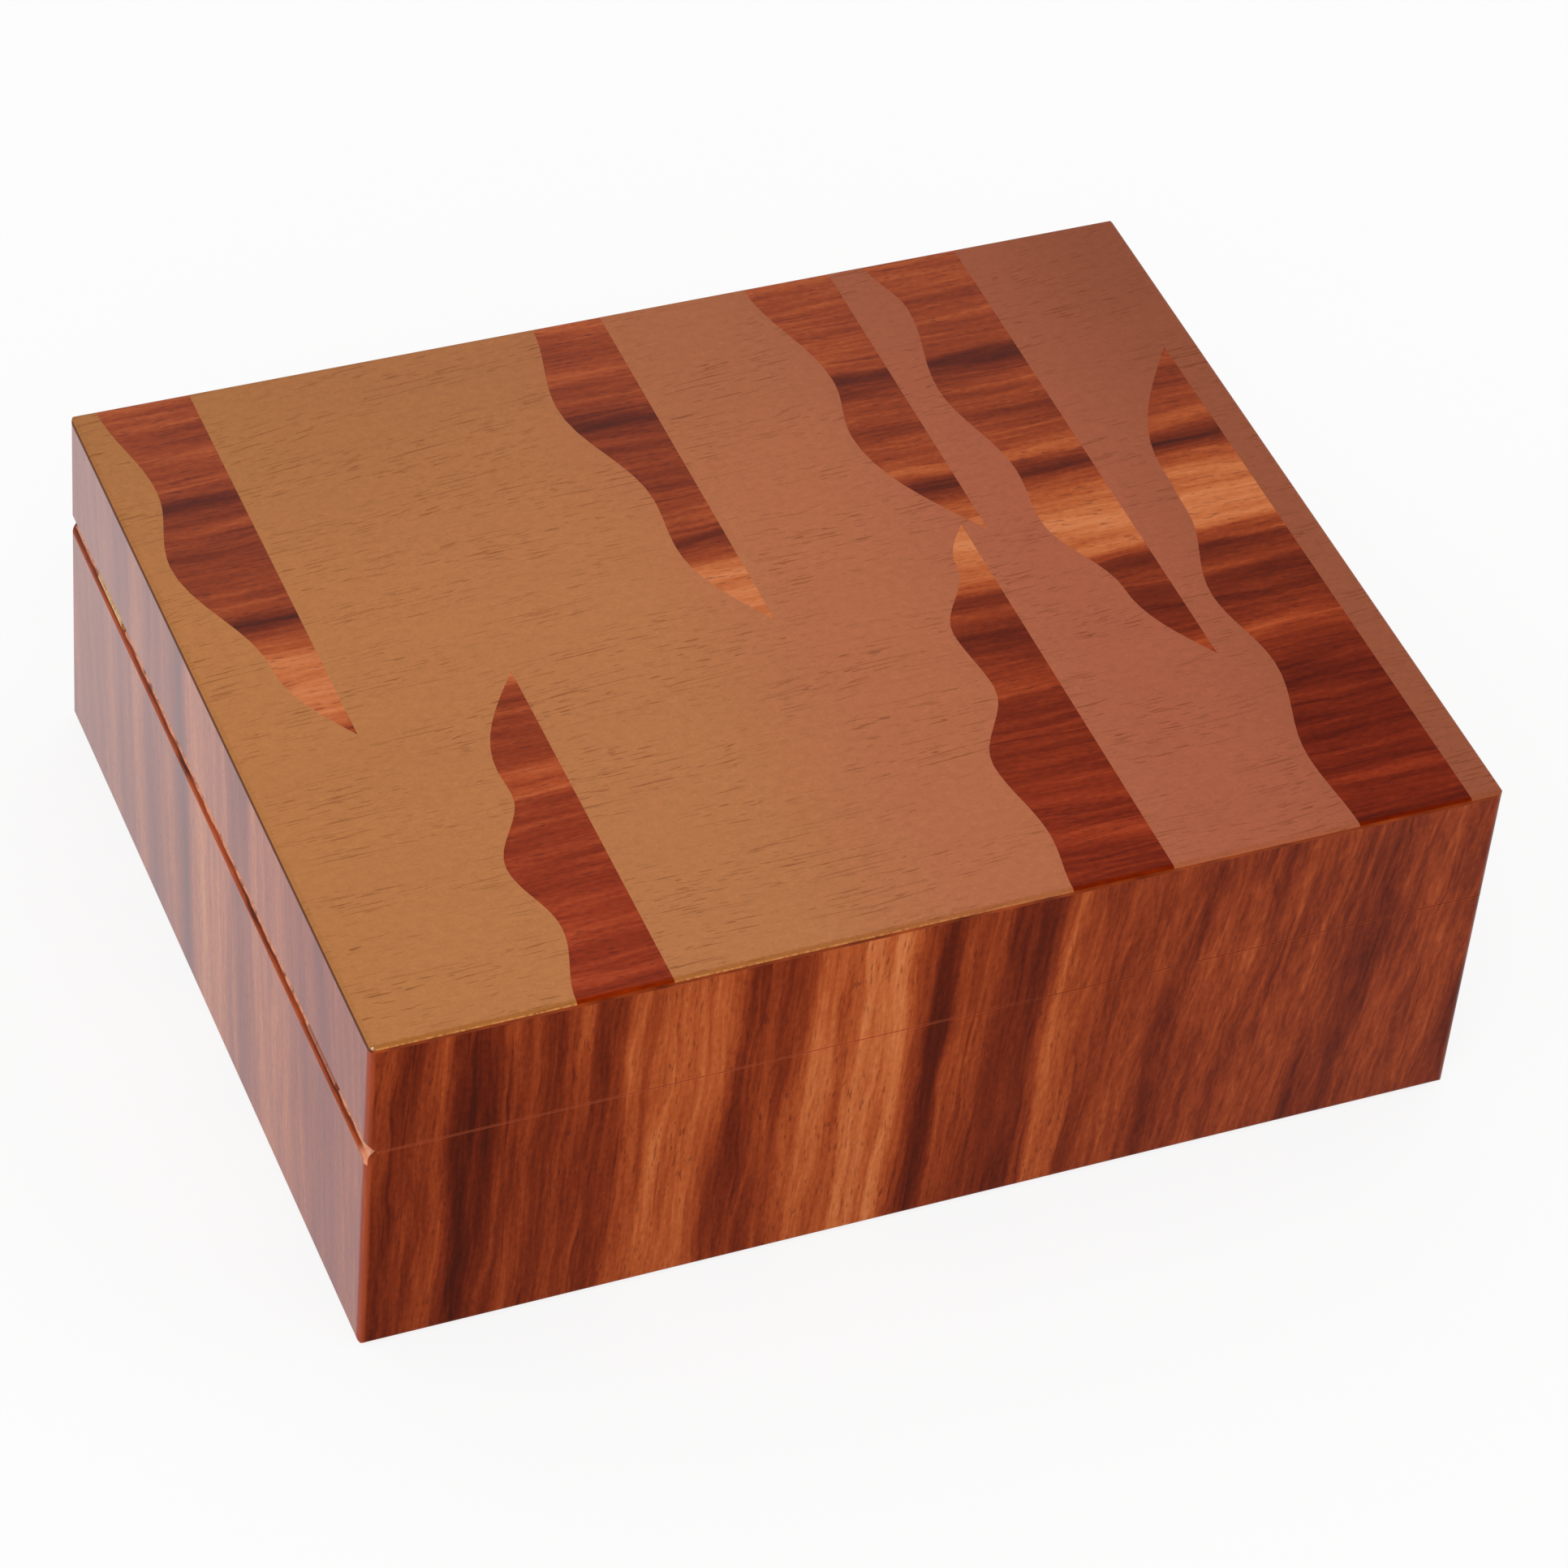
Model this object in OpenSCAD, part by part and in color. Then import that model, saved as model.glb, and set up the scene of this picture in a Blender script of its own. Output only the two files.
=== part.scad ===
// Inlaid wooden box with a hinged lid. The lid turns about two butt hinges let into one short side.
// Millimetres. Origin: middle of the underside. +X runs away from the hinge side, +Y to the back, +Z up.

/* [Box] */
// Outside length, from the hinge side to the opening side
box_w = 260; // [220:1:320]
// Outside depth, from front to back
box_d = 211; // [170:1:260]
// Height of the wooden box without its felt
box_h = 90; // [80:1:130]
// Height of the seam above the underside of the wood
seam_h = 59; // [40:1:64]
// Gap between the rim of the body and the rim of the lid
seam_gap = 0.3; // [0.1:0.1:0.8]

/* [Carcass] */
// Thickness of the side walls
wall_t = 9; // [8:0.5:12]
// Thickness of the bottom panel
bottom_t = 6; // [4:0.5:10]
// Thickness of the panel under the inlaid sheet
top_t = 6; // [4:0.5:10]

/* [Veneer] */
// Thickness of the side veneer with its lacquer
side_veneer_t = 1; // [0.8:0.1:1.4]
// Thickness of the inlaid sheet on the lid
sheet_t = 1.2; // [1.1:0.1:2]

/* [Edges] */
// Radius of the four upright corners
corner_r = 2; // [1:0.25:3]
// Radius of the edge round the top
top_edge_r = 1; // [0.4:0.1:1.1]
// Radius of the edge round the underside
foot_edge_r = 1; // [0.4:0.1:1.5]

/* [Inlay] */
// Width that the stripes are drawn from
stripe_w = 22; // [16:0.5:24]

/* [Hinges] */
// Length of each hinge
hinge_len = 18; // [16:1:30]
// Middle of each hinge from the nearer end of its side
hinge_inset = 30; // [20:1:60]
// Radius of a knuckle
knuckle_r = 1.75; // [1.5:0.05:2.2]
// How far the knuckles lie inside the outside face
knuckle_inset = 0.25; // [0.1:0.05:0.6]
// Length of the lid's knuckle, between the two of the body
lid_knuckle_len = 6.6; // [5:0.2:9]
// Gap between neighbouring knuckles
knuckle_gap = 0.2; // [0.1:0.05:0.4]
// Clearance of the knuckles in the wood and in the other leaf
knuckle_clear = 0.25; // [0.15:0.05:0.4]
// Thickness of a leaf
leaf_t = 1; // [0.9:0.1:1.3]
// Wood left between a leaf and the lining
leaf_margin = 1; // [0.5:0.25:1.5]
// Radius of the pin
pin_r = 0.8; // [0.5:0.05:1]
// Running clearance between the pin and the lid's knuckle
pin_clear = 0.05; // [0.02:0.01:0.09]
// How much deeper than the pin's middle the bevels along the seam reach
bevel_extra = 0.5; // [0.3:0.1:1.2]

/* [Screws] */
// Length of a hinge screw
screw_len = 7; // [5:0.5:12]
// Radius of a screw's shank
screw_r = 0.7; // [0.5:0.05:0.9]
// Radius of a screw's head
head_r = 1.4; // [1.1:0.05:1.55]
// Distance between the two screws of a leaf
screw_spacing = 10; // [8:0.5:13]
// Width of the slot in a screw's head
slot_w = 0.4; // [0.3:0.05:0.6]
// Depth of the slot in a screw's head
slot_depth = 0.3; // [0.2:0.05:0.5]
// Length of a screw's point
point_len = 1.5; // [1:0.25:2.5]

/* [Lining] */
// Thickness of the lining boards
lining_t = 3; // [2:0.5:5]
// Height of the lining's lip above the rim of the body
lip_h = 4; // [2:0.5:7]
// Clearance between the lip and the walls of the lid
lip_clear = 0.3; // [0.2:0.05:0.6]
// Gap between the top of the lip and the lining of the lid
lip_gap = 0.5; // [0.3:0.1:2]
// Thickness of the pad on the floor
floor_pad_t = 2; // [1:0.25:4]
// Thickness of the pad under the lid
lid_pad_t = 1.5; // [1:0.25:4]

/* [Felt] */
// Thickness of the felt on the underside
felt_t = 1; // [0.6:0.1:2]
// How far the felt stays inside the outside faces
felt_inset = 4; // [3:0.5:10]

/* [Hidden] */

$fn = 48;
// How far a cutting shape runs past what it cuts
over = 1;

// Heights
wood_z = felt_t;
rim_z = wood_z + seam_h;
lid_z = rim_z + seam_gap;
top_z = wood_z + box_h;
sheet_z = top_z - sheet_t;
floor_z = wood_z + bottom_t;
ceiling_z = sheet_z - top_t;

// Outlines seen from above, each one inside the last
wall_w = box_w - 2 * side_veneer_t;
wall_d = box_d - 2 * side_veneer_t;
room_w = wall_w - 2 * wall_t;
room_d = wall_d - 2 * wall_t;
lined_w = room_w - 2 * lining_t;
lined_d = room_d - 2 * lining_t;

// Hinge line
pin_setback = knuckle_r + knuckle_inset;
pin_x = -box_w / 2 + pin_setback;
pin_z = rim_z + seam_gap / 2;
bevel = pin_setback + bevel_extra;
leaf_w = side_veneer_t + wall_t - pin_setback - leaf_margin;
screw_x = pin_x + (knuckle_r + leaf_w) / 2;
base_knuckle_len = (hinge_len - lid_knuckle_len) / 2 - knuckle_gap;
base_knuckle_shift = (hinge_len - base_knuckle_len) / 2;
front_hinge_y = -box_d / 2 + hinge_inset;
back_hinge_y = box_d / 2 - hinge_inset;

// Each stripe, from the hinge side on: where its straight edge stands across the lid (0 to 1), the edge
// that it grows from (1 back, -1 front), its reach as a share of the depth, and the bulges and necks of
// its wavy edge as [share of the reach, width in stripe widths]. After the last one it runs to a point.
STRIPES = [
    [0.108, 1, 0.57, [[0, 1.0], [0.26, 0.78], [0.47, 1.0], [0.79, 0.5]]],
    [0.256, -1, 0.475, [[0, 0.98], [0.22, 0.77], [0.42, 1.0], [0.63, 0.6], [0.71, 0.62]]],
    [0.493, 1, 0.53, [[0, 0.76], [0.26, 0.96], [0.59, 0.51], [0.74, 0.56]]],
    [0.695, -1, 0.555, [[0, 1.07], [0.15, 0.98], [0.35, 1.12], [0.55, 0.66], [0.71, 0.74], [0.89, 0.3]]],
    [0.715, 1, 0.46, [[0, 0.98], [0.39, 0.63], [0.6, 0.79]]],
    [0.84, 1, 0.715, [[0, 1.07], [0.12, 0.88], [0.32, 1.09], [0.53, 0.82], [0.65, 0.9], [0.83, 0.5]]],
    [0.969, -1, 0.77, [[0, 1.23], [0.14, 1.3], [0.33, 1.02], [0.48, 1.2], [0.66, 0.89], [0.75, 0.86]]]
];
// Straight bits in each stretch of a wavy edge
curve_steps = 8;

// Colours
ROSEWOOD = [0.50, 0.19, 0.10];
FIELD = [0.69, 0.45, 0.29];
CARCASS = [0.55, 0.30, 0.19];
LINING = [0.74, 0.52, 0.36];
PAD = [0.30, 0.18, 0.13];
FELT = [0.16, 0.11, 0.09];
BRASS = [0.80, 0.62, 0.28];

// ---------- outlines ----------

// Board of a mitred frame, seen from above, w by d outside and t thick
function mitred(side, w, d, t) =
    side == "front" ? [[-w / 2, -d / 2], [w / 2, -d / 2], [w / 2 - t, t - d / 2], [t - w / 2, t - d / 2]] :
    side == "left" ? [[-w / 2, -d / 2], [t - w / 2, t - d / 2], [t - w / 2, d / 2 - t], [-w / 2, d / 2]] :
    side == "back" ? [for (p = mitred("front", w, d, t)) [p.x, -p.y]] :
    [for (p = mitred("left", w, d, t)) [-p.x, p.y]];

// Width between one bulge or neck and the next, u running from 0 to 1
function wave(from, to, u) = from + (to - from) * (1 - cos(180 * u)) / 2;

// A place along a stripe, as [x, y]: share of its reach and width in stripe widths
function on_stripe(s, share, width) = [
    (s[0] - 0.5) * box_w - width * stripe_w,
    s[1] * (0.5 - share * s[2]) * box_d
];

// Outline of a stripe, run on past the lid's edge at its root
function stripe_outline(s) = let (waves = s[3], last = waves[len(waves) - 1]) [
    on_stripe(s, 0, 0) + [0, s[1] * over],
    on_stripe(s, 0, waves[0][1]) + [0, s[1] * over],
    for (k = [0:1:len(waves) - 2], j = [0:1:curve_steps - 1])
        let (a = waves[k], b = waves[k + 1], u = j / curve_steps)
        on_stripe(s, a[0] + (b[0] - a[0]) * u, wave(a[1], b[1], u)),
    for (j = [0:1:curve_steps])
        let (u = j / curve_steps)
        on_stripe(s, last[0] + (1 - last[0]) * u, last[1] * cos(90 * u))
];

module rounded_rectangle(w, h, r_low, r_high) {
    translate([-w / 2, r_low]) square([w, h - r_low - r_high]);
    translate([r_low - w / 2, 0]) square([w - 2 * r_low, h / 2]);
    translate([r_high - w / 2, h / 2]) square([w - 2 * r_high, h / 2]);
    for (s = [-1, 1]) {
        translate([s * (w / 2 - r_low), r_low]) circle(r_low);
        translate([s * (w / 2 - r_high), h - r_high]) circle(r_high);
    }
}

// ---------- shapes that several pieces share ----------

// The closed box from outside, with its rounded corners and edges
module rounded_block() {
    intersection() {
        translate([0, -box_d / 2, wood_z])
            linear_extrude(box_h) rounded_rectangle(box_w, box_d, corner_r, corner_r);
        translate([0, box_d / 2 + over, wood_z]) rotate([90, 0, 0])
            linear_extrude(box_d + 2 * over) rounded_rectangle(box_w, box_h, foot_edge_r, top_edge_r);
        translate([-box_w / 2 - over, 0, wood_z]) rotate([90, 0, 90])
            linear_extrude(box_w + 2 * over) rounded_rectangle(box_d, box_h, foot_edge_r, top_edge_r);
    }
}

// One board of a mitred frame between two heights
module board(side, w, d, t, low, high) {
    translate([0, 0, low]) linear_extrude(high - low) polygon(mitred(side, w, d, t));
}

// The V along the seam on the hinge side: it lets the lid swing past upright
module seam_groove() {
    translate([0, box_d / 2 + over, 0]) rotate([90, 0, 0]) linear_extrude(box_d + 2 * over)
        polygon([
            [-box_w / 2 - over, rim_z - bevel - over],
            [-box_w / 2 + bevel, rim_z],
            [-box_w / 2 + bevel, lid_z],
            [-box_w / 2 - over, lid_z + bevel + over]
        ]);
}

// A round bar on the hinge line
module on_hinge_line(y, len, r) {
    translate([pin_x, y, pin_z]) rotate([90, 0, 0]) cylinder(h = len, r = r, center = true);
}

// Flat of a leaf, from the hinge line inwards
module leaf_plate(y, low, high) {
    translate([pin_x, y - hinge_len / 2, low]) cube([leaf_w, hinge_len, high - low]);
}

// Hollow in the wood round the knuckles of both hinges
module knuckle_hollows() {
    for (y = [front_hinge_y, back_hinge_y])
        on_hinge_line(y, hinge_len + 2 * knuckle_clear, knuckle_r + knuckle_clear);
}

// A screw without its slot, head face at the origin and point up
module screw_blank() {
    cylinder(h = head_r - screw_r, r1 = head_r, r2 = screw_r);
    cylinder(h = screw_len - point_len, r = screw_r);
    translate([0, 0, screw_len - point_len]) cylinder(h = point_len, r1 = screw_r, r2 = screw_r / 4);
}

module screw() {
    difference() {
        screw_blank();
        translate([-slot_w / 2, -head_r - over, -over]) cube([slot_w, 2 * (head_r + over), slot_depth + over]);
    }
}

// Places of the four screws in one row of leaves, points up (1) or down (-1) from height z
module at_screws(z, up) {
    for (y = [front_hinge_y, back_hinge_y], s = [-1, 1])
        translate([screw_x, y + s * screw_spacing / 2, z]) mirror([0, 0, up > 0 ? 0 : 1]) children();
}

// ---------- body ----------

module base_wall(side) {
    color(CARCASS) difference() {
        board(side, wall_w, wall_d, wall_t, wood_z, rim_z);
        if (side != "right") seam_groove();
        if (side == "left") {
            knuckle_hollows();
            for (y = [front_hinge_y, back_hinge_y]) leaf_plate(y, rim_z - leaf_t, rim_z + over);
            at_screws(rim_z, -1) screw_blank();
        }
    }
}

module base_bottom_panel() {
    color(CARCASS) translate([-room_w / 2, -room_d / 2, wood_z]) cube([room_w, room_d, bottom_t]);
}

module base_veneer(side) {
    color(ROSEWOOD) difference() {
        intersection() {
            rounded_block();
            board(side, box_w, box_d, side_veneer_t, wood_z, rim_z);
        }
        if (side != "right") seam_groove();
        if (side == "left") knuckle_hollows();
    }
}

// Lining board. Above the rim it steps back from the walls of the lid and forms the lip.
module base_lining(side) {
    color(LINING) {
        board(side, room_w, room_d, lining_t, floor_z, rim_z);
        board(side, room_w - 2 * lip_clear, room_d - 2 * lip_clear, lining_t - lip_clear, rim_z, rim_z + lip_h);
    }
}

module base_floor_pad() {
    color(PAD) translate([-lined_w / 2, -lined_d / 2, floor_z]) cube([lined_w, lined_d, floor_pad_t]);
}

module base_felt() {
    color(FELT) translate([felt_inset - box_w / 2, felt_inset - box_d / 2, 0])
        cube([box_w - 2 * felt_inset, box_d - 2 * felt_inset, felt_t]);
}

// ---------- lid ----------

module lid_wall(side) {
    color(CARCASS) difference() {
        board(side, wall_w, wall_d, wall_t, lid_z, sheet_z);
        if (side != "right") seam_groove();
        if (side == "left") {
            knuckle_hollows();
            for (y = [front_hinge_y, back_hinge_y]) leaf_plate(y, lid_z - over, lid_z + leaf_t);
            at_screws(lid_z, 1) screw_blank();
        }
    }
}

module lid_top_panel() {
    color(CARCASS) translate([-room_w / 2, -room_d / 2, ceiling_z]) cube([room_w, room_d, top_t]);
}

module lid_veneer(side) {
    color(ROSEWOOD) difference() {
        intersection() {
            rounded_block();
            board(side, box_w, box_d, side_veneer_t, lid_z, sheet_z);
        }
        if (side != "right") seam_groove();
        if (side == "left") knuckle_hollows();
    }
}

// The whole sheet over the lid, before the stripes are cut out of it
module lid_sheet() {
    intersection() {
        rounded_block();
        translate([-box_w / 2 - over, -box_d / 2 - over, sheet_z])
            cube([box_w + 2 * over, box_d + 2 * over, sheet_t + over]);
    }
}

module stripe_cutter(s) {
    translate([0, 0, sheet_z - over]) linear_extrude(sheet_t + 2 * over) polygon(stripe_outline(s));
}

module lid_field_veneer() {
    color(FIELD) difference() {
        lid_sheet();
        for (s = STRIPES) stripe_cutter(s);
    }
}

module inlay_stripe(number) {
    color(ROSEWOOD) intersection() {
        lid_sheet();
        stripe_cutter(STRIPES[number - 1]);
    }
}

module lid_lining(side) {
    color(LINING) board(side, room_w, room_d, lining_t, rim_z + lip_h + lip_gap, ceiling_z);
}

module lid_ceiling_pad() {
    color(PAD) translate([-lined_w / 2, -lined_d / 2, ceiling_z - lid_pad_t]) cube([lined_w, lined_d, lid_pad_t]);
}

// ---------- hinges ----------

// The leaf on the body carries the two outer knuckles, and the pin is tight in them
module lower_leaf(y) {
    color(BRASS) difference() {
        union() {
            difference() {
                leaf_plate(y, rim_z - leaf_t, rim_z);
                on_hinge_line(y, lid_knuckle_len + 2 * knuckle_gap, knuckle_r + knuckle_clear);
            }
            for (s = [-1, 1]) on_hinge_line(y + s * base_knuckle_shift, base_knuckle_len, knuckle_r);
        }
        on_hinge_line(y, hinge_len + 2 * over, pin_r);
        at_screws(rim_z, -1) screw_blank();
    }
}

// The leaf on the lid carries the middle knuckle, which turns on the pin
module upper_leaf(y) {
    color(BRASS) difference() {
        union() {
            difference() {
                leaf_plate(y, lid_z, lid_z + leaf_t);
                for (s = [-1, 1])
                    on_hinge_line(y + s * (lid_knuckle_len + hinge_len) / 2, hinge_len, knuckle_r + knuckle_clear);
            }
            on_hinge_line(y, lid_knuckle_len, knuckle_r);
        }
        on_hinge_line(y, hinge_len + 2 * over, pin_r + pin_clear);
        at_screws(lid_z, 1) screw_blank();
    }
}

module hinge_pin(y) {
    color(BRASS) on_hinge_line(y, hinge_len, pin_r);
}

module lower_leaf_screws() {
    color(BRASS) at_screws(rim_z, -1) screw();
}

module upper_leaf_screws() {
    color(BRASS) at_screws(lid_z, 1) screw();
}

base_wall("front");  // base_front_wall
base_wall("back");  // base_back_wall
base_wall("left");  // base_left_wall
base_wall("right");  // base_right_wall
base_bottom_panel();
base_veneer("front");  // base_front_veneer
base_veneer("back");  // base_back_veneer
base_veneer("left");  // base_left_veneer
base_veneer("right");  // base_right_veneer
base_felt();
base_lining("front");  // base_front_lining
base_lining("back");  // base_back_lining
base_lining("left");  // base_left_lining
base_lining("right");  // base_right_lining
base_floor_pad();
lid_wall("front");  // lid_front_wall
lid_wall("back");  // lid_back_wall
lid_wall("left");  // lid_left_wall
lid_wall("right");  // lid_right_wall
lid_top_panel();
lid_veneer("front");  // lid_front_veneer
lid_veneer("back");  // lid_back_veneer
lid_veneer("left");  // lid_left_veneer
lid_veneer("right");  // lid_right_veneer
lid_field_veneer();
inlay_stripe(1);  // inlay_stripe_1
inlay_stripe(2);  // inlay_stripe_2
inlay_stripe(3);  // inlay_stripe_3
inlay_stripe(4);  // inlay_stripe_4
inlay_stripe(5);  // inlay_stripe_5
inlay_stripe(6);  // inlay_stripe_6
inlay_stripe(7);  // inlay_stripe_7
lid_lining("front");  // lid_front_lining
lid_lining("back");  // lid_back_lining
lid_lining("left");  // lid_left_lining
lid_lining("right");  // lid_right_lining
lid_ceiling_pad();
lower_leaf(front_hinge_y);  // front_hinge_lower_leaf
upper_leaf(front_hinge_y);  // front_hinge_upper_leaf
hinge_pin(front_hinge_y);  // front_hinge_pin
lower_leaf(back_hinge_y);  // back_hinge_lower_leaf
upper_leaf(back_hinge_y);  // back_hinge_upper_leaf
hinge_pin(back_hinge_y);  // back_hinge_pin
lower_leaf_screws();
upper_leaf_screws();
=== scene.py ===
"""Finishes, soft pieces, light and camera of the inlaid wooden box.

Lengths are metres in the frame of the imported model: its origin is the middle of the underside, x runs away
from the hinges, y to the back and z up. Inside the finishes they are millimetres, because the figure of the
veneers, their pores and the brushed brass are all easier to read at that scale.
"""
import math
import random

import bpy
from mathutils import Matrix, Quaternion, Vector


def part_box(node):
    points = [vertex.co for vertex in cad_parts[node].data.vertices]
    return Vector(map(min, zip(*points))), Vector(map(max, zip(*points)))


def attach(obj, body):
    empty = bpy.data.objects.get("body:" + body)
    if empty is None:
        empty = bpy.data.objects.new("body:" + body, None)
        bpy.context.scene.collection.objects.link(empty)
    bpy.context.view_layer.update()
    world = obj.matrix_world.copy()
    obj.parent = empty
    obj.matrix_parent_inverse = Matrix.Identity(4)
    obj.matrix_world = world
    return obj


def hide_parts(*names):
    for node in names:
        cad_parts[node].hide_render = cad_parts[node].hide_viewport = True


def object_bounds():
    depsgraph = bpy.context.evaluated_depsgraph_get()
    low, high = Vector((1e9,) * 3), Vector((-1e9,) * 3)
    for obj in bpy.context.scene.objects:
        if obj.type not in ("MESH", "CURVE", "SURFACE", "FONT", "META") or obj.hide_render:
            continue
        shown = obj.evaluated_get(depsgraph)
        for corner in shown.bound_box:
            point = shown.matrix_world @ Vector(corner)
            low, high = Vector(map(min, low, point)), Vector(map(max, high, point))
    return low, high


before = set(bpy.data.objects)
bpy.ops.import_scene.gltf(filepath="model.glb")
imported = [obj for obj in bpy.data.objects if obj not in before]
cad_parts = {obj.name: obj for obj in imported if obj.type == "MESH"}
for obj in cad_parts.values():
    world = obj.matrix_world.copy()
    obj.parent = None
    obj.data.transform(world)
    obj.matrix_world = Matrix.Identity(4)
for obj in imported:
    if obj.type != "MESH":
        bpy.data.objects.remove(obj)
cad_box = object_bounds()

MM = 0.001

# ---------------------------------------------------------------- places taken from the frame, in mm

BOX_LOW = cad_box[0] / MM
BOX_HIGH = cad_box[1] / MM
BOX_W = BOX_HIGH.x - BOX_LOW.x
BOX_D = BOX_HIGH.y - BOX_LOW.y
MID_Z = (BOX_LOW.z + BOX_HIGH.z) / 2
SHEET_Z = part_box("lid_field_veneer")[0].z / MM
RIM_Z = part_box("base_right_veneer")[1].z / MM
LID_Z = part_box("lid_right_veneer")[0].z / MM
SEAM_Z = (RIM_Z + LID_Z) / 2
HINGE_X = (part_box("front_hinge_pin")[0].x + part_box("front_hinge_pin")[1].x) / 2 / MM

# ---------------------------------------------------------------- colours, linear


def paint(red, green, blue):
    """A colour given as 0 to 255, turned into the linear colour that a shader takes."""
    shares = [value / 255 for value in (red, green, blue)]
    return tuple(s / 12.92 if s <= 0.04045 else ((s + 0.055) / 1.055) ** 2.4 for s in shares)


# Rosewood from its darkest line to its palest sapwood
ROSEWOOD_TONES = [
    (0.00, paint(68, 19, 6)),
    (0.16, paint(92, 27, 8)),
    (0.34, paint(119, 42, 15)),
    (0.52, paint(147, 60, 25)),
    (0.70, paint(175, 84, 40)),
    (0.86, paint(196, 109, 60)),
    (1.00, paint(210, 127, 78)),
]
# The same along the hinges, a little paler and cooler: a painted tint of the glancing reflection that veils
# that side
HINGE_SIDE_TONES_WITH_PAINTED_VEIL = [
    (0.00, paint(98, 20, 32)),
    (0.16, paint(110, 28, 36)),
    (0.34, paint(132, 45, 40)),
    (0.52, paint(157, 70, 46)),
    (0.70, paint(186, 101, 62)),
    (0.86, paint(205, 132, 82)),
    (1.00, paint(216, 146, 98)),
]
PORE = paint(72, 24, 15)
# Bare sawn wood at the seam, paled further by a painted highlight
SAWN_WOOD_AND_HIGHLIGHT = paint(229, 114, 75)
# Painted highlight on the rounded upright corner by the hinges and along the bottom edge
PAINTED_EDGE_HIGHLIGHT = paint(176, 82, 50)
# The cut edge of the inlaid sheet
SHEET_SIDE_DARK = paint(88, 26, 8)
SHEET_SIDE_PALE = paint(160, 66, 26)
# Across the bevels of the hinge groove, from the outside inwards: an orange lip, a dark heart and a painted
# highlight along the pale inner edge
GROOVE_LIP = paint(192, 84, 38)
# The dark heart, and painted shade on the lid's bevel above the seam
GROOVE_HEART_AND_SHADE = paint(80, 26, 15)
# Painted highlight along the inner edge, also the bare wood at the groove's front end
GROOVE_HIGHLIGHT_AND_BARE_WOOD = paint(238, 160, 122)
# Boards under the veneer, and the linings inside them
CARCASS_PALE = paint(206, 150, 118)
CARCASS_DARK = paint(172, 112, 84)
LINING_PALE = paint(206, 158, 116)
LINING_DARK = paint(170, 114, 78)
BRIGHT_BRASS = paint(226, 186, 104)
DULL_BRASS = paint(158, 78, 44)
WHITE = (1.0, 1.0, 1.0)

# Each face has its own build-up of lacquer
LACQUER_IOR = {"front": 1.13, "back": 1.2, "left": 1.24, "right": 1.2, "inlay": 1.16}
COAT_IOR = 1.3

# ---------------------------------------------------------------- finishes


class Wire:
    """The value at one socket. Arithmetic on it adds Math nodes, or Vector Math nodes for a vector."""

    def __init__(self, finish, socket):
        self.finish = finish
        self.socket = socket

    def __add__(self, other):
        return self.finish.calculate("ADD", self, other)

    __radd__ = __add__

    def __sub__(self, other):
        return self.finish.calculate("SUBTRACT", self, other)

    def __rsub__(self, other):
        return self.finish.calculate("SUBTRACT", other, self)

    def __mul__(self, other):
        return self.finish.calculate("MULTIPLY", self, other)

    __rmul__ = __mul__

    def __truediv__(self, other):
        return self.finish.calculate("DIVIDE", self, other)

    def __rtruediv__(self, other):
        return self.finish.calculate("DIVIDE", other, self)


def set_stops(elements, stops):
    """Gives the elements of a colour ramp these (place, colour or grey) stops."""
    while len(elements) > 1:
        elements.remove(elements[-1])
    for index, (place, colour) in enumerate(stops):
        shade = colour if isinstance(colour, tuple) else (colour, colour, colour)
        element = elements[0] if index == 0 else elements.new(place)
        element.position = place
        element.color = (*shade, 1)


class Workings:
    """The node tree of a material or of the world."""

    def __init__(self, tree):
        self.tree = tree

    def node(self, kind, settings=None, inputs=None, output=0):
        """Adds a node: first its settings, then what its sockets hold. Returns one of its outputs."""
        made = self.tree.nodes.new(kind)
        for name, value in (settings or {}).items():
            if name == "stops":
                set_stops(made.color_ramp.elements, value)
            elif name == "ease":
                made.color_ramp.interpolation = value
            else:
                setattr(made, name, value)
        for name, value in (inputs or {}).items():
            self.feed(made.inputs[name], value)
        return Wire(self, made.outputs[output])

    def feed(self, socket, value):
        """Links a wire to a socket, or sets the socket to a constant."""
        if isinstance(value, Wire):
            self.tree.links.new(value.socket, socket)
        elif socket.type == "RGBA" and len(value) == 3:
            socket.default_value = (*value, 1)
        else:
            socket.default_value = value

    def calculate(self, operation, first, second):
        """One Math node, or a Vector Math node where either side is a vector."""
        is_vector = any(
            isinstance(side, Wire) and side.socket.type == "VECTOR" for side in (first, second)
        )
        kind = "ShaderNodeVectorMath" if is_vector else "ShaderNodeMath"
        return self.node(kind, {"operation": operation}, {0: first, 1: second})


class Finish(Workings):
    """One material: a Principled surface, places on the box in mm, and the nodes between them."""

    def __init__(self, name, **constants):
        self.material = bpy.data.materials.new(name)
        self.material.use_nodes = True
        super().__init__(self.material.node_tree)
        self.surface = self.tree.nodes["Principled BSDF"]
        self.set(**constants)
        where = self.node("ShaderNodeTexCoord", output="Object")
        parts = self.node("ShaderNodeSeparateXYZ", inputs={0: where}).socket.node
        self.x = Wire(self, parts.outputs["X"]) / MM
        self.y = Wire(self, parts.outputs["Y"]) / MM
        self.z = Wire(self, parts.outputs["Z"]) / MM

    def set(self, **values):
        """Puts constants or wires on the Principled surface: base_color=..., roughness=..."""
        for name, value in values.items():
            words = name.replace("_", " ").title().replace("Ior", "IOR")
            self.feed(self.surface.inputs[words], value)


def finish_of(*values):
    """The finish that the wires among these values belong to."""
    return next(value.finish for value in values if isinstance(value, Wire))


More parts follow.
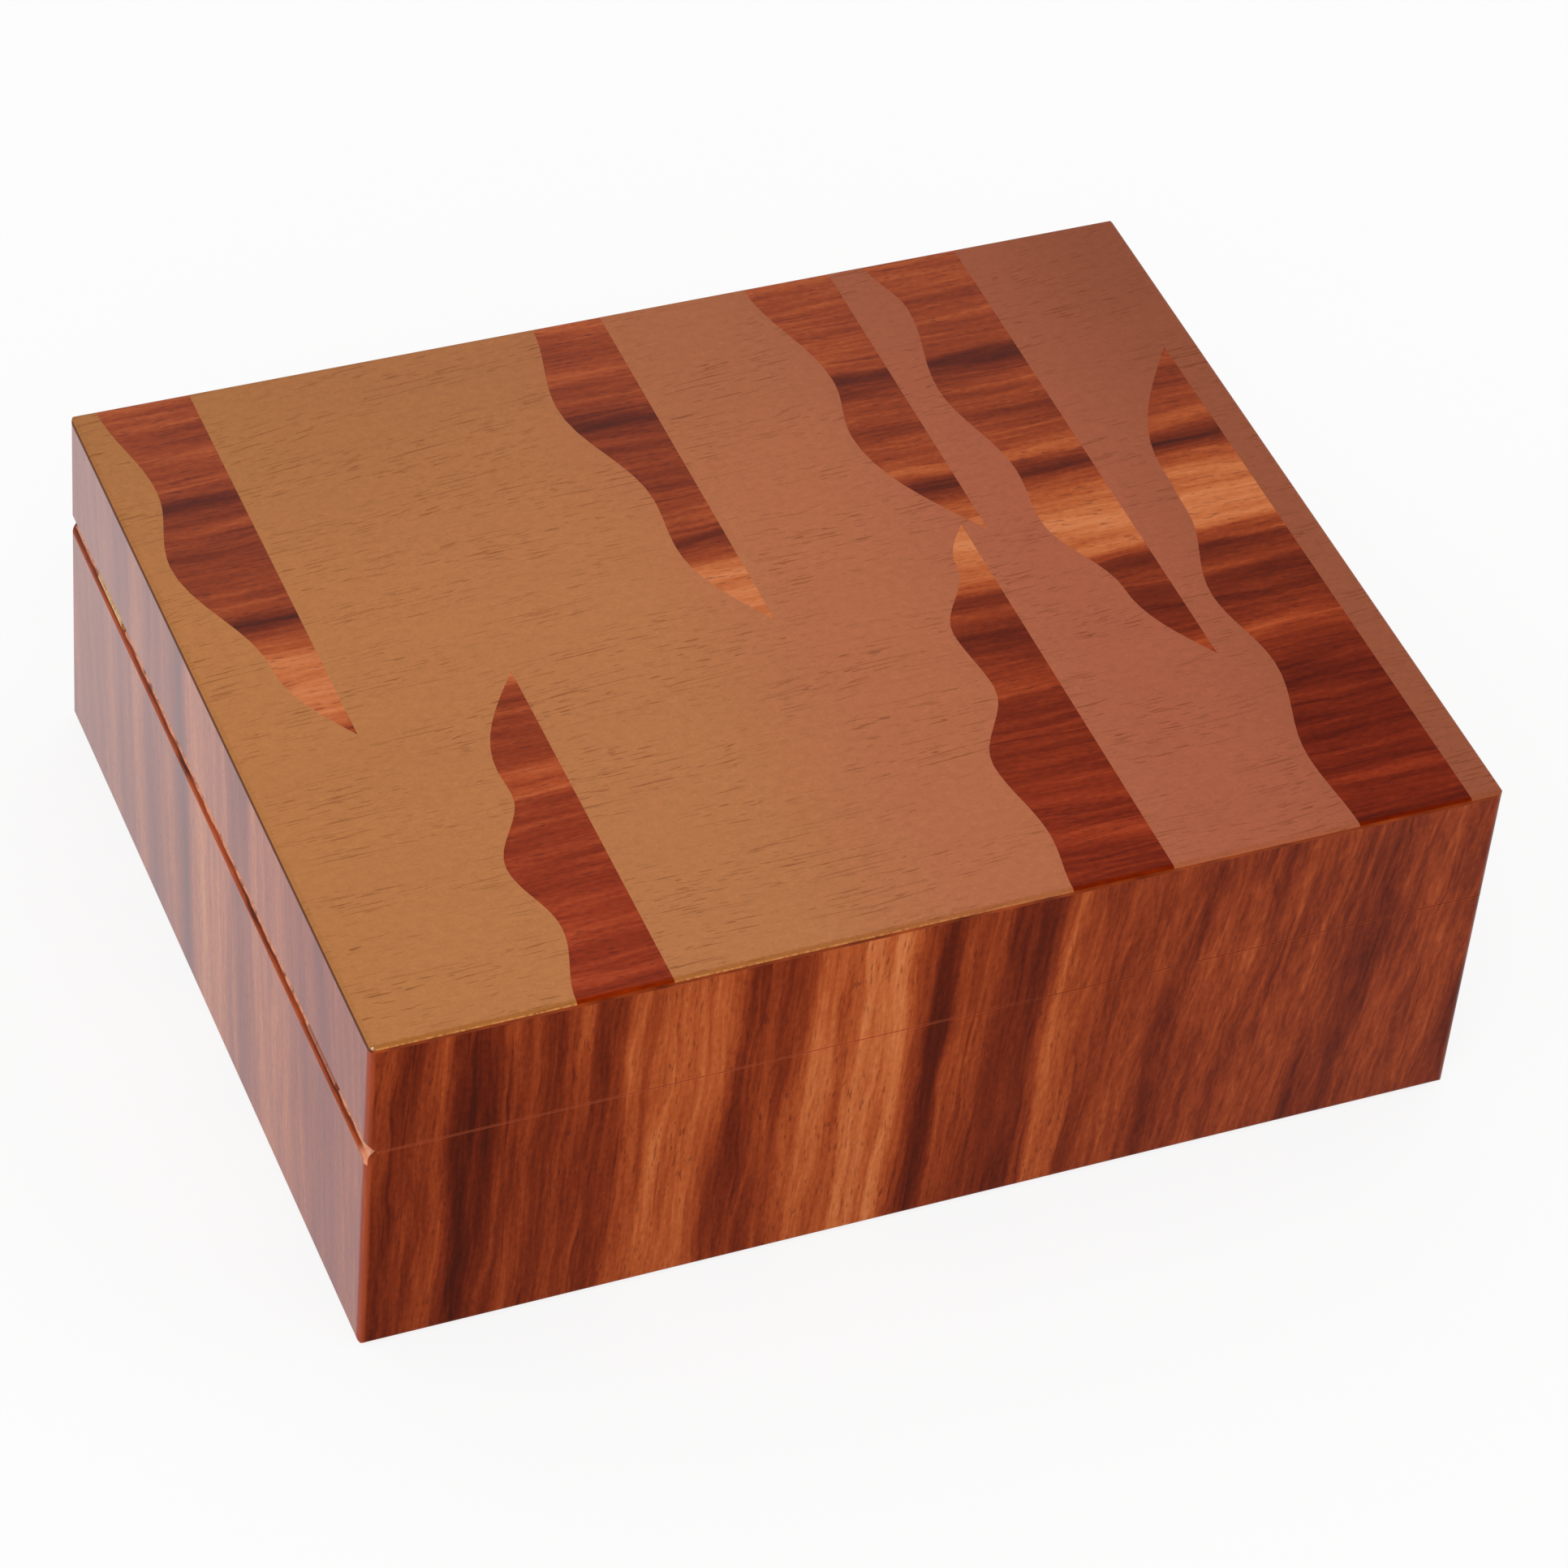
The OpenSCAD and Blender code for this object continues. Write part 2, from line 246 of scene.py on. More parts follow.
def smooth_step(value, low, high):
    """0 below low, 1 above high and an eased rise between. It falls where low is above high."""
    start, end = min(low, high), max(low, high)
    ends = (0.0, 1.0) if low < high else (1.0, 0.0)
    return value.finish.node(
        "ShaderNodeMapRange",
        {"interpolation_type": "SMOOTHSTEP"},
        {"Value": value, "From Min": start, "From Max": end, "To Min": ends[0], "To Max": ends[1]},
    )


def clamp(value):
    """A wire's number held between 0 and 1."""
    return value.finish.node("ShaderNodeClamp", inputs={"Value": value})


def distance(value, place):
    """How far a wire's number lies from a place, either way."""
    return value.finish.node("ShaderNodeMath", {"operation": "ABSOLUTE"}, {0: value - place})


def mix(factor, first, second, blend_type="MIX"):
    """Colour mix, with first at factor 0 and second at factor 1."""
    return finish_of(factor, first, second).node(
        "ShaderNodeMix",
        {"data_type": "RGBA", "blend_type": blend_type},
        {0: factor, 6: first, 7: second},
        output=2,
    )


def grey(value):
    """A wire's number as a colour."""
    return value.finish.node("ShaderNodeCombineColor", inputs={0: value, 1: value, 2: value})


def ramp(value, stops, ease="LINEAR"):
    """Colour at a wire's number, from (place, colour or grey) stops."""
    return value.finish.node("ShaderNodeValToRGB", {"stops": stops, "ease": ease}, {"Fac": value})


def bands(across, places, length):
    """Tone of a figure across the grain, from (mm, tone) places."""
    stops = [(place / length, tone) for place, tone in places]
    return ramp(across / length, stops, "EASE")


# How far apart the seeds lie in the noise
SEED_GAP = 37.0
# Stretches the noise's usual values to about -1 and 1
NOISE_GAIN = 3.0


def noise(along, across, third=0.0, size=(1.0, 1.0), seed=0, detail=2.0):
    """Soft noise from about -1 to 1, size mm long along the grain and across it."""
    finish = finish_of(along, across, third)
    place = finish.node(
        "ShaderNodeCombineXYZ",
        inputs={0: along / size[0], 1: across / size[1], 2: third + seed * SEED_GAP},
    )
    raw = finish.node(
        "ShaderNodeTexNoise", inputs={"Vector": place, "Scale": 1.0, "Detail": detail, "Roughness": 0.5}
    )
    return (raw - 0.5) * NOISE_GAIN


def relief(height, depth_mm, strength=1.0):
    """Normal of a surface that stands depth_mm proud where height is 1."""
    return height.finish.node(
        "ShaderNodeBump", inputs={"Strength": strength, "Distance": depth_mm * MM, "Height": height}
    )


# ---------------------------------------------------------------- rosewood

# Tones of the figure, from thin dark lines to the palest sapwood
INK = 0.12
UMBER = 0.20
CHESTNUT = 0.27
AUBURN = 0.35
BROWN = 0.42
RUSSET = 0.50
TAWNY = 0.60
HONEY = 0.71
SAPWOOD = 0.81
CREAM = 0.90

# Each figure runs across the grain, in mm from one end: (place, tone)
SHEET_FIGURE = [
    (0, TAWNY), (8, RUSSET), (30, RUSSET), (35, AUBURN), (38, INK), (42, AUBURN), (50, RUSSET),
    (60, AUBURN), (68, RUSSET), (74, TAWNY), (78, AUBURN), (80, INK), (83, AUBURN), (88, TAWNY),
    (93, SAPWOOD), (103, CREAM), (110, SAPWOOD), (114, TAWNY), (118, CHESTNUT), (123, BROWN),
    (129, UMBER), (137, CHESTNUT), (145, RUSSET), (152, BROWN), (160, CHESTNUT), (190, AUBURN),
    (200, AUBURN), (211, UMBER),
]
FRONT_FIGURE = [
    (0, AUBURN), (8, CHESTNUT), (15, RUSSET), (22, INK), (26, UMBER), (31, BROWN), (38, CHESTNUT),
    (45, RUSSET), (51, CHESTNUT), (60, TAWNY), (70, HONEY), (78, TAWNY), (84, AUBURN), (93, BROWN),
    (99, HONEY), (105, TAWNY), (112, SAPWOOD), (119, SAPWOOD), (124, RUSSET), (128, INK),
    (133, BROWN), (139, BROWN), (144, CHESTNUT), (150, UMBER), (158, TAWNY), (169, AUBURN),
    (177, RUSSET), (186, AUBURN), (212, BROWN), (232, CHESTNUT), (244, BROWN), (260, AUBURN),
]
LEFT_FIGURE = [
    (0, BROWN), (14, BROWN), (30, RUSSET), (42, AUBURN), (55, TAWNY), (63, CHESTNUT), (68, BROWN),
    (77, RUSSET), (86, UMBER), (92, RUSSET), (98, HONEY), (106, TAWNY), (112, TAWNY),
    (120, RUSSET), (130, AUBURN), (140, TAWNY), (154, TAWNY), (163, RUSSET), (173, BROWN),
    (180, BROWN), (189, AUBURN), (197, RUSSET), (211, BROWN),
]
BACK_FIGURE = [
    (0, BROWN), (14, RUSSET), (24, UMBER), (30, BROWN), (48, TAWNY), (58, CHESTNUT), (66, TAWNY),
    (82, CREAM), (96, CREAM), (104, RUSSET), (108, INK), (114, BROWN), (132, RUSSET), (141, INK),
    (148, RUSSET), (170, TAWNY), (182, CHESTNUT), (190, RUSSET), (214, BROWN), (224, INK),
    (232, RUSSET), (260, AUBURN),
]
RIGHT_FIGURE = [
    (0, AUBURN), (12, RUSSET), (26, BROWN), (37, INK), (44, RUSSET), (60, HONEY), (72, BROWN),
    (81, INK), (88, RUSSET), (104, SAPWOOD), (118, CREAM), (127, RUSSET), (134, INK),
    (142, BROWN), (160, TAWNY), (172, CHESTNUT), (181, RUSSET), (196, AUBURN), (211, BROWN),
]


def rosewood_colour(along, across, figure, length, seed, extra=0.0, calm=0.0, tones=ROSEWOOD_TONES):
    """Colour of rosewood veneer, and the mask of its pores.

    The figure is bent by drift, waver and feather, in mm. Calm, up to 1, makes the streaks fainter.
    """
    drift = noise(along, across, size=(110, 40), seed=seed) * 2.6
    waver = noise(along, across, size=(34, 9), seed=seed + 1) * 1.6
    feather = noise(along, across, size=(18, 1.8), seed=seed + 8) * 0.7
    warped = across + drift + waver
    figured = bands(warped + feather, figure, length)
    veins = noise(along, warped, size=(80, 7.5), seed=seed + 2) * 0.17
    streaks = (
        noise(along, warped, size=(60, 3.0), seed=seed + 3) * 0.19
        + noise(along, warped, size=(26, 1.2), seed=seed + 4) * 0.09
    )
    sand = (
        noise(along, across, size=(1.8, 1.0), seed=seed + 10) * 0.07
        + noise(along, across, size=(6.0, 0.7), seed=seed + 9) * 0.07
    )
    ink_lines = smooth_step(noise(along, warped, size=(56, 2.4), seed=seed + 5), 0.36, 0.60)
    ink_lines = ink_lines * smooth_step(figured, 0.74, 0.48)
    tone = figured + veins + (streaks - ink_lines * 0.16) * (1.0 - calm) + sand + extra
    colour = ramp(clamp(tone), tones)
    pores = smooth_step(noise(along, across, size=(4.2, 0.7), seed=seed + 6, detail=1), 0.36, 0.50)
    crowded = smooth_step(noise(along, across, size=(24, 8), seed=seed + 7), -0.7, 0.3)
    pores = pores * crowded * (1.0 - calm * 0.6)
    return mix(pores * 0.46, colour, PORE), pores


def lacquer(name, ior):
    """Clear gloss over a dark wood: faint from the front and a white veil at a glancing angle."""
    return Finish(name, ior=ior, specular_tint=(0.6, 0.2, 0.1))


def add_coat(finish, weight, roughness):
    """A second, clear coat of lacquer, which pales the wood where its weight is high."""
    finish.set(coat_ior=COAT_IOR, coat_roughness=roughness, coat_weight=weight)


def lay_rosewood(finish, colour, pores, least_roughness):
    """Puts rosewood on a finish. Its pores are rougher and slightly sunk."""
    finish.set(
        base_color=colour,
        roughness=least_roughness + pores * 0.12,
        normal=relief(1 - pores, 0.02, 0.3),
    )
    return finish.material


def sawn_seam_and_highlight(finish, colour):
    """Bare wood where the saw parted the lid from the body, with a painted highlight along the seam that is
    paler towards the hinges.
    """
    from_seam = distance(finish.z, SEAM_Z)
    share = smooth_step(finish.x, 25, -15) * 0.12 + 0.16
    return mix(smooth_step(from_seam, 0.40, 0.20) * share, colour, SAWN_WOOD_AND_HIGHLIGHT)


# How orange the groove is along its length, in mm from its front end: (place, share)
GROOVE_WARMTH = [
    (0, 0.9), (14, 0.5), (28, 0.15), (38, 0.6), (52, 0.7), (66, 0.4), (80, 0.1), (92, 0.8), (106, 1.0),
    (117, 0.8), (125, 0.0), (134, 0.6), (150, 0.3), (166, 0.6), (184, 0.5), (211, 0.3),
]


def groove_shade_and_highlight(finish, colour):
    """Colours the groove along the hinges: an orange lip, a dark heart, a painted highlight with glints
    along the pale inner edge, bare wood at the front end and painted shade on the lid's bevel.
    """
    from_front = finish.y - BOX_LOW.y
    from_face = finish.x - BOX_LOW.x
    uneven = noise(finish.y, 0.0, size=(9, 1), seed=93) * 0.5
    warmth = clamp(bands(from_front, GROOVE_WARMTH, BOX_D) + uneven)
    depth = from_face + noise(finish.y, finish.z, size=(7, 1.5), seed=91) * 0.25
    lip = smooth_step(depth, 0.50, 0.25) * (warmth * 0.5 + 0.5)
    # Painted highlight along the pale inner edge, broken into glints
    core_highlight = smooth_step(depth, 0.86, 1.02) * smooth_step(depth, 1.95, 1.75)
    glint_noise = noise(finish.y, finish.z, size=(2.4, 1.0), seed=92)
    shade = mix(lip, mix(warmth * 0.6, GROOVE_HEART_AND_SHADE, GROOVE_LIP), GROOVE_LIP)
    shade = mix(clamp(core_highlight * (0.85 + glint_noise)), shade, GROOVE_HIGHLIGHT_AND_BARE_WOOD)
    # Bare pale wood at the groove's front end
    shade = mix(smooth_step(from_front, 6, 2) * 0.75, shade, GROOVE_HIGHLIGHT_AND_BARE_WOOD)
    # Painted shade on the lid's bevel above the seam, which faces down
    shade = mix(smooth_step(finish.z, SEAM_Z - 0.05, SEAM_Z + 0.05) * 0.75, shade, GROOVE_HEART_AND_SHADE)
    near_seam = smooth_step(distance(finish.z, SEAM_Z), 4.0, 3.6)
    in_groove = smooth_step(from_face, 0.02, 0.08) * smooth_step(from_face, 2.5, 2.3) * near_seam
    return mix(in_groove, colour, shade)


def lean(finish):
    """How far the figure leans to the right at a height, growing towards the right end of the front."""
    share = smooth_step(finish.x, BOX_LOW.x + 110, BOX_LOW.x + 230)
    return (share * 0.08 + 0.04) * (finish.z - MID_Z)


def mottle(finish):
    """Broken, slightly leaning mottle over the right half of the front."""
    share = smooth_step(finish.x, BOX_LOW.x + 130, BOX_LOW.x + 190)
    slant = finish.x - (finish.z - MID_Z) * 0.12
    slant = slant + noise(finish.z, finish.x, size=(22, 9), seed=303) * 2.5
    broad = noise(finish.z, slant, size=(38, 10), seed=301) * 0.14
    fine = noise(finish.z, slant, size=(9, 1.3), seed=302) * 0.14
    return (broad + fine) * share


def front_rosewood(seed):
    """Rosewood of the front. Its figure leans and breaks into mottle towards the right."""
    finish = lacquer("rosewood_front", LACQUER_IOR["front"])
    across = finish.x - BOX_LOW.x - lean(finish)
    towards_right = smooth_step(finish.x, -20, 120)
    paler = mottle(finish) + towards_right * 0.02
    calm = smooth_step(finish.x, BOX_LOW.x + 130, BOX_LOW.x + 200) * 0.4
    colour, pores = rosewood_colour(finish.z, across, FRONT_FIGURE, BOX_W, seed, paler, calm)
    colour = sawn_seam_and_highlight(finish, colour)
    # Painted highlight on the rounded corner by the hinges and along the bottom edge
    corner = smooth_step(finish.x, BOX_LOW.x + 1.7, BOX_LOW.x + 0.8)
    foot_highlight = smooth_step(finish.z, 1.9, 1.3)
    colour = mix(clamp(corner * 0.55 + foot_highlight * 0.4), colour, PAINTED_EDGE_HIGHLIGHT)
    add_coat(finish, towards_right * 0.18, 0.1)
    return lay_rosewood(finish, colour, pores, 0.10)


def hinge_side_rosewood(seed):
    """Rosewood of the left side, with the groove that the hinges lie in. Its tones carry a painted
    reflection tint, its front corner a painted highlight, and its groove a painted highlight and shade.
    """
    finish = lacquer("rosewood_left", LACQUER_IOR["left"])
    across = BOX_HIGH.y - finish.y + (finish.z - MID_Z) * 0.12
    lower = smooth_step(finish.z, RIM_Z + 2, RIM_Z - 30)
    colour, pores = rosewood_colour(
        finish.z, across, LEFT_FIGURE, BOX_D, seed, extra=lower * 0.02, calm=0.4, tones=HINGE_SIDE_TONES_WITH_PAINTED_VEIL
    )
    # Painted highlight on the rounded corner at the front
    corner = smooth_step(finish.y, BOX_LOW.y + 2.4, BOX_LOW.y + 1.0)
    colour = mix(corner * 0.55, colour, PAINTED_EDGE_HIGHLIGHT)
    colour = groove_shade_and_highlight(finish, colour)
    towards_back = smooth_step(finish.y, BOX_LOW.y, BOX_HIGH.y)
    add_coat(finish, clamp(towards_back * 0.34 + 0.03 - lower * 0.08), 0.08)
    return lay_rosewood(finish, colour, pores, 0.10)


def plain_side_rosewood(side, figure, seed):
    """Rosewood of the back or the right side."""
    finish = lacquer(f"rosewood_{side}", LACQUER_IOR[side])
    if side == "back":
        across = BOX_HIGH.x - finish.x
        length = BOX_W
    else:
        across = finish.y - BOX_LOW.y
        length = BOX_D
    colour, pores = rosewood_colour(finish.z, across, figure, length, seed)
    return lay_rosewood(finish, sawn_seam_and_highlight(finish, colour), pores, 0.10)


def front_rim(finish, uneven=0.0):
    """The last millimetre of the lid's top before its front edge, where the lacquer bends down."""
    return smooth_step(finish.y - BOX_LOW.y + uneven, 1.75, 1.0)


def sheet_side(finish):
    """The cut edge of the inlaid sheet, streaked like the veneer under it."""
    streaks = noise(finish.x + finish.y, 0.0, size=(11, 1), seed=95) * 0.9
    return mix(clamp(streaks + 0.5), SHEET_SIDE_DARK, SHEET_SIDE_PALE)


# What the stripes take on towards the front, and painted amber shade in the bend along the front edge
REDDER_TINT = (0.94, 0.66, 0.76)
AMBER_RIM_SHADE = (0.92, 0.64, 0.03)


def stripe_rosewood():
    """One sheet of rosewood that all the stripes are cut from, with its grain along the lid."""
    finish = lacquer("rosewood_inlay", LACQUER_IOR["inlay"])
    towards_hinges = smooth_step(finish.x, BOX_HIGH.x, BOX_LOW.x)
    # Paler towards the front by the hinges: a painted sheen
    paler = smooth_step(finish.y, 10, -20) * towards_hinges * 0.24
    paler = paler + smooth_step(finish.y, -10, 40) * (1.0 - towards_hinges) * 0.03
    down_the_lid = BOX_HIGH.y - finish.y
    colour, pores = rosewood_colour(
        finish.x, down_the_lid, SHEET_FIGURE, BOX_D, seed=61, extra=paler, calm=0.1
    )
    colour = mix(smooth_step(finish.y, 20, -90), colour, REDDER_TINT, "MULTIPLY")
    # Painted amber shade in the bend along the front edge
    rim = front_rim(finish)
    colour = mix(rim, colour, AMBER_RIM_SHADE, "MULTIPLY")
    rise = finish.z - SHEET_Z
    colour = mix(smooth_step(rise, 0.95, 0.65), colour, sheet_side(finish))
    build_up = smooth_step(finish.y, -80, 100) * 0.26 + towards_hinges * 0.22
    add_coat(finish, build_up * (1.0 - rim), 0.1)
    return lay_rosewood(finish, colour, pores, 0.14)


# ---------------------------------------------------------------- field of the lid

# Colour of the field from gold by the hinges to a darker copper at the opening side
GOLD_TO_COPPER = [
    (0.00, (0.462, 0.184, 0.062)),
    (0.34, (0.458, 0.175, 0.064)),
    (0.55, (0.437, 0.142, 0.063)),
    (0.77, (0.385, 0.105, 0.054)),
    (1.00, (0.292, 0.079, 0.038)),
]
FIELD_DASH = paint(104, 48, 24)
# A thin olive band around the lid's edge
OLIVE_EDGE_BAND = paint(146, 96, 34)
# Painted highlight along the front arris, gold by the hinges and copper at the opening side
GOLD_ARRIS_HIGHLIGHT = paint(202, 136, 80)
COPPER_ARRIS_HIGHLIGHT = paint(164, 94, 64)
# Painted dark reflection along the arris by the hinges
DARK_ARRIS_REFLECTION = paint(84, 34, 8)
# Painted white highlight on the lid's front corner by the hinges
CORNER_GLINT_HIGHLIGHT = paint(238, 226, 216)
# Painted shade on the bend along the front edge of the field
FIELD_RIM_SHADE = (0.85, 0.75, 0.58)


def nearest_edge(finish):
    """Distance in mm from the nearest side of the lid."""
    gaps = [finish.x - BOX_LOW.x, BOX_HIGH.x - finish.x, finish.y - BOX_LOW.y, BOX_HIGH.y - finish.y]
    nearest = gaps[0]
    for gap in gaps[1:]:
        nearest = finish.calculate("MINIMUM", nearest, gap)
    return nearest


# Pores of the field in three lengths: length and width in mm, and how rare they are
DASH_LAYERS = [(6.0, 0.62, 0.47), (12.0, 0.62, 0.48), (34.0, 0.58, 0.54)]


def field_dashes(finish):
    """Short dark pores of the field's veneer, in loose flocks along the grain."""
    sway = noise(finish.x, finish.y, size=(90, 50), seed=3) * 3.0
    climb = smooth_step(finish.y, -40, 90) * 0.07 + 0.02
    grain_y = finish.y + sway - finish.x * climb
    flocks = smooth_step(noise(finish.x, grain_y, size=(40, 12), seed=7), -0.45, 0.30)
    dashes = 0.0
    for number, (length, width, least) in enumerate(DASH_LAYERS):
        grain = noise(finish.x, grain_y, size=(length, width), seed=310 + number, detail=1)
        dashes = finish.calculate("MAXIMUM", dashes, smooth_step(grain, least, least + 0.08))
    return dashes * flocks


def rim_band_highlight_and_shade(finish, colour, speckle):
    """A dull olive band around the lid's top, painted shade on the bend along the front, a painted highlight
    line along the front arris and a painted dark reflection on the arris by the hinges.
    """
    to_copper = smooth_step(finish.x, BOX_LOW.x + 90, BOX_LOW.x + 220)
    edge_band = smooth_step(nearest_edge(finish) + speckle * 0.3, 1.5, 0.8)
    colour = mix(edge_band * (1.0 - to_copper * 0.85) * 0.2, colour, OLIVE_EDGE_BAND)
    rim = front_rim(finish, speckle * 0.3)
    # Painted shade on the bend along the front
    colour = mix(rim * (1.0 - to_copper * 0.6), colour, FIELD_RIM_SHADE, "MULTIPLY")
    rise = finish.z - SHEET_Z
    # Painted highlight line along the front arris, broken by the speckle
    bright = mix(to_copper, GOLD_ARRIS_HIGHLIGHT, COPPER_ARRIS_HIGHLIGHT)
    line = smooth_step(rise, 1.05, 0.90) * (1.0 - to_copper) * rim
    colour = mix(clamp(line * (0.50 + speckle * 1.1)), colour, bright)
    colour = mix(smooth_step(rise, 0.80, 0.62), colour, sheet_side(finish))
    # Painted dark reflection on the arris by the hinges
    by_hinges = smooth_step(finish.x, BOX_LOW.x + 0.9, BOX_LOW.x + 0.6)
    return mix(by_hinges * smooth_step(rise, 0.94, 0.70) * 0.9, colour, DARK_ARRIS_REFLECTION)


def painted_corner_glint(finish, colour):
    """A painted white highlight on the lid's front corner by the hinges, where the light glints on its
    rounding.
    """
    off_x = finish.x - BOX_LOW.x - 0.8
    off_y = finish.y - BOX_LOW.y - 0.8
    off_z = finish.z - SHEET_Z - 0.9
    squared = off_x * off_x + off_y * off_y + off_z * off_z
    return mix(smooth_step(squared, 0.16, 0.05), colour, CORNER_GLINT_HIGHLIGHT)


def field_stain():
    """Satin, slightly metallic stain on open-pored veneer."""
    finish = Finish("field_stain", ior=1.3, specular_tint=(0.8, 0.35, 0.1))
    share = (finish.x - BOX_LOW.x) / BOX_W
    colour = ramp(share, GOLD_TO_COPPER, "EASE")
    speckle = noise(finish.x, finish.y, size=(0.9, 0.7), seed=4)
    sand = noise(finish.x, finish.y, size=(2.6, 1.8), seed=6, detail=3)
    clouds = noise(finish.x, finish.y, size=(60, 18), seed=5)
    dashes = field_dashes(finish)
    towards_back = smooth_step(finish.y, BOX_LOW.y + 0.55 * BOX_D, BOX_HIGH.y)
    shade = (1.0 + speckle * 0.09 + sand * 0.09 + clouds * 0.03) * (1.0 - towards_back * 0.13)
    colour = mix(1.0, colour, grey(shade), "MULTIPLY")
    colour = mix(dashes * 0.45, colour, FIELD_DASH)
    # Olive edge band, with painted shade, highlight and dark reflection along the rims
    colour = rim_band_highlight_and_shade(finish, colour, speckle)
    on_top = smooth_step(finish.z - SHEET_Z, 0.70, 1.00)
    finish.set(
        # Its painted corner highlight
        base_color=painted_corner_glint(finish, colour),
        metallic=on_top * 0.25,
        roughness=0.42 + dashes * 0.2,
        normal=relief(speckle * 0.5 - dashes, 0.03, 0.35),
    )
    return finish.material


# ---------------------------------------------------------------- inside and hardware


def plain_wood(name, pale, dark, along_axis, seed):
    """Open-grained board, its grain along one axis. The boards along y also form the hinge groove."""
    finish = Finish(name, ior=1.45)
    along = getattr(finish, along_axis)
    across = finish.z + (finish.y if along_axis == "x" else finish.x) * 0.8
    waver = noise(along, across, size=(60, 10), seed=seed) * 1.4
    warped = across + waver
    tone = (
        0.5
        + noise(along, warped, size=(120, 4.0), seed=seed + 1) * 0.30
        + noise(along, warped, size=(45, 1.0), seed=seed + 2) * 0.28
        + noise(along, across, size=(7, 0.6), seed=seed + 4) * 0.16
    )
    pores = smooth_step(noise(along, across, size=(6.0, 0.5), seed=seed + 3, detail=1), 0.44, 0.60)
    colour = mix(clamp(tone), dark, pale)
    colour = mix(pores * 0.45, colour, tuple(0.5 * c for c in dark))
    finish.set(
        # The boards along y take the groove's colours, its painted highlight and shade among them
        base_color=groove_shade_and_highlight(finish, colour) if along_axis == "y" else colour,
        roughness=0.55 + pores * 0.1,
        normal=relief(1 - pores, 0.05, 0.4),
    )
    return finish.material


def brass(name, roughness):
    """Brushed brass, bright inside the box and dull on the outside of the knuckles."""
    finish = Finish(name)
    brushed = noise(finish.y, finish.z + finish.x, size=(6, 0.12), seed=11)
    tarnish = smooth_step(noise(finish.y, finish.z, finish.x, size=(5, 4), seed=12), 0.0, 1.0)
    specks = smooth_step(noise(finish.y, finish.z, size=(2.2, 1.2), seed=13), -0.1, 0.35)
    outside = smooth_step(finish.x, HINGE_X + 0.4, HINGE_X - 0.6)
    towards_front = smooth_step(finish.y, 40, -40)
    dull = clamp(tarnish * 0.5 + outside * (towards_front * 0.8 + specks * 0.3 + 0.2))
    colour = mix(dull, BRIGHT_BRASS, DULL_BRASS)
    finish.set(
        base_color=colour,
        metallic=1.0 - outside * (towards_front * 0.5 + 0.4),
        roughness=roughness + dull * 0.2 + brushed * 0.03,
        normal=relief(brushed, 0.01, 0.3),
    )
    return finish.material


def suede(name, seed):
    """Brown suede: a fine nap that was stroked one way and the other."""
    finish = Finish(name, sheen_weight=0.35, sheen_roughness=0.4, sheen_tint=paint(150, 104, 84))
    nap = noise(finish.x, finish.y, finish.z, size=(0.35, 0.35), seed=seed)
    stroked = noise(finish.x, finish.y, size=(30, 18), seed=seed + 1)
    colour = mix(clamp(0.5 + stroked * 0.35 + nap * 0.15), paint(62, 34, 26), paint(92, 54, 40))
    finish.set(base_color=colour, roughness=0.92 + nap * 0.04, normal=relief(nap, 0.12, 0.6))
    return finish.material


def felt():
    """Dark felt, its fibres pressed into loose clumps."""
    finish = Finish("felt_underside", sheen_weight=0.3, sheen_roughness=0.5, sheen_tint=paint(130, 108, 96))
    fibres = noise(finish.x, finish.y, finish.z, size=(0.5, 0.3), seed=21)
    clumps = noise(finish.x, finish.y, size=(7, 5), seed=22)
    colour = mix(clamp(0.5 + fibres * 0.25 + clumps * 0.2), paint(46, 33, 28), paint(74, 56, 47))
    finish.set(base_color=colour, roughness=0.95 + fibres * 0.03, normal=relief(fibres, 0.2, 0.7))
    return finish.material


# ---------------------------------------------------------------- soft pieces

# Size of a soft panel's quads
CELL_MM = 3.0
# Height of a soft panel's edge, as a share of its thickness
EDGE_SHARE = 0.25


def panel_faces(columns, rows):
    """Quads of a closed panel that has its crowned layer of vertices first and its flat one after it."""
    layer = (rows + 1) * (columns + 1)

    def point(level, i, j):
        return level * layer + j * (columns + 1) + i

    faces = []
    for j in range(rows):
        for i in range(columns):
            faces.append([point(0, i, j), point(0, i + 1, j), point(0, i + 1, j + 1), point(0, i, j + 1)])
            faces.append([point(1, i, j), point(1, i, j + 1), point(1, i + 1, j + 1), point(1, i + 1, j)])
    for i in range(columns):
        faces.append([point(1, i, 0), point(1, i + 1, 0), point(0, i + 1, 0), point(0, i, 0)])
        faces.append([point(0, i, rows), point(0, i + 1, rows), point(1, i + 1, rows), point(1, i, rows)])
    last = columns
    for j in range(rows):
        faces.append([point(0, 0, j), point(0, 0, j + 1), point(1, 0, j + 1), point(1, 0, j)])
        faces.append([point(1, last, j), point(1, last, j + 1), point(0, last, j + 1), point(0, last, j)])
    return faces


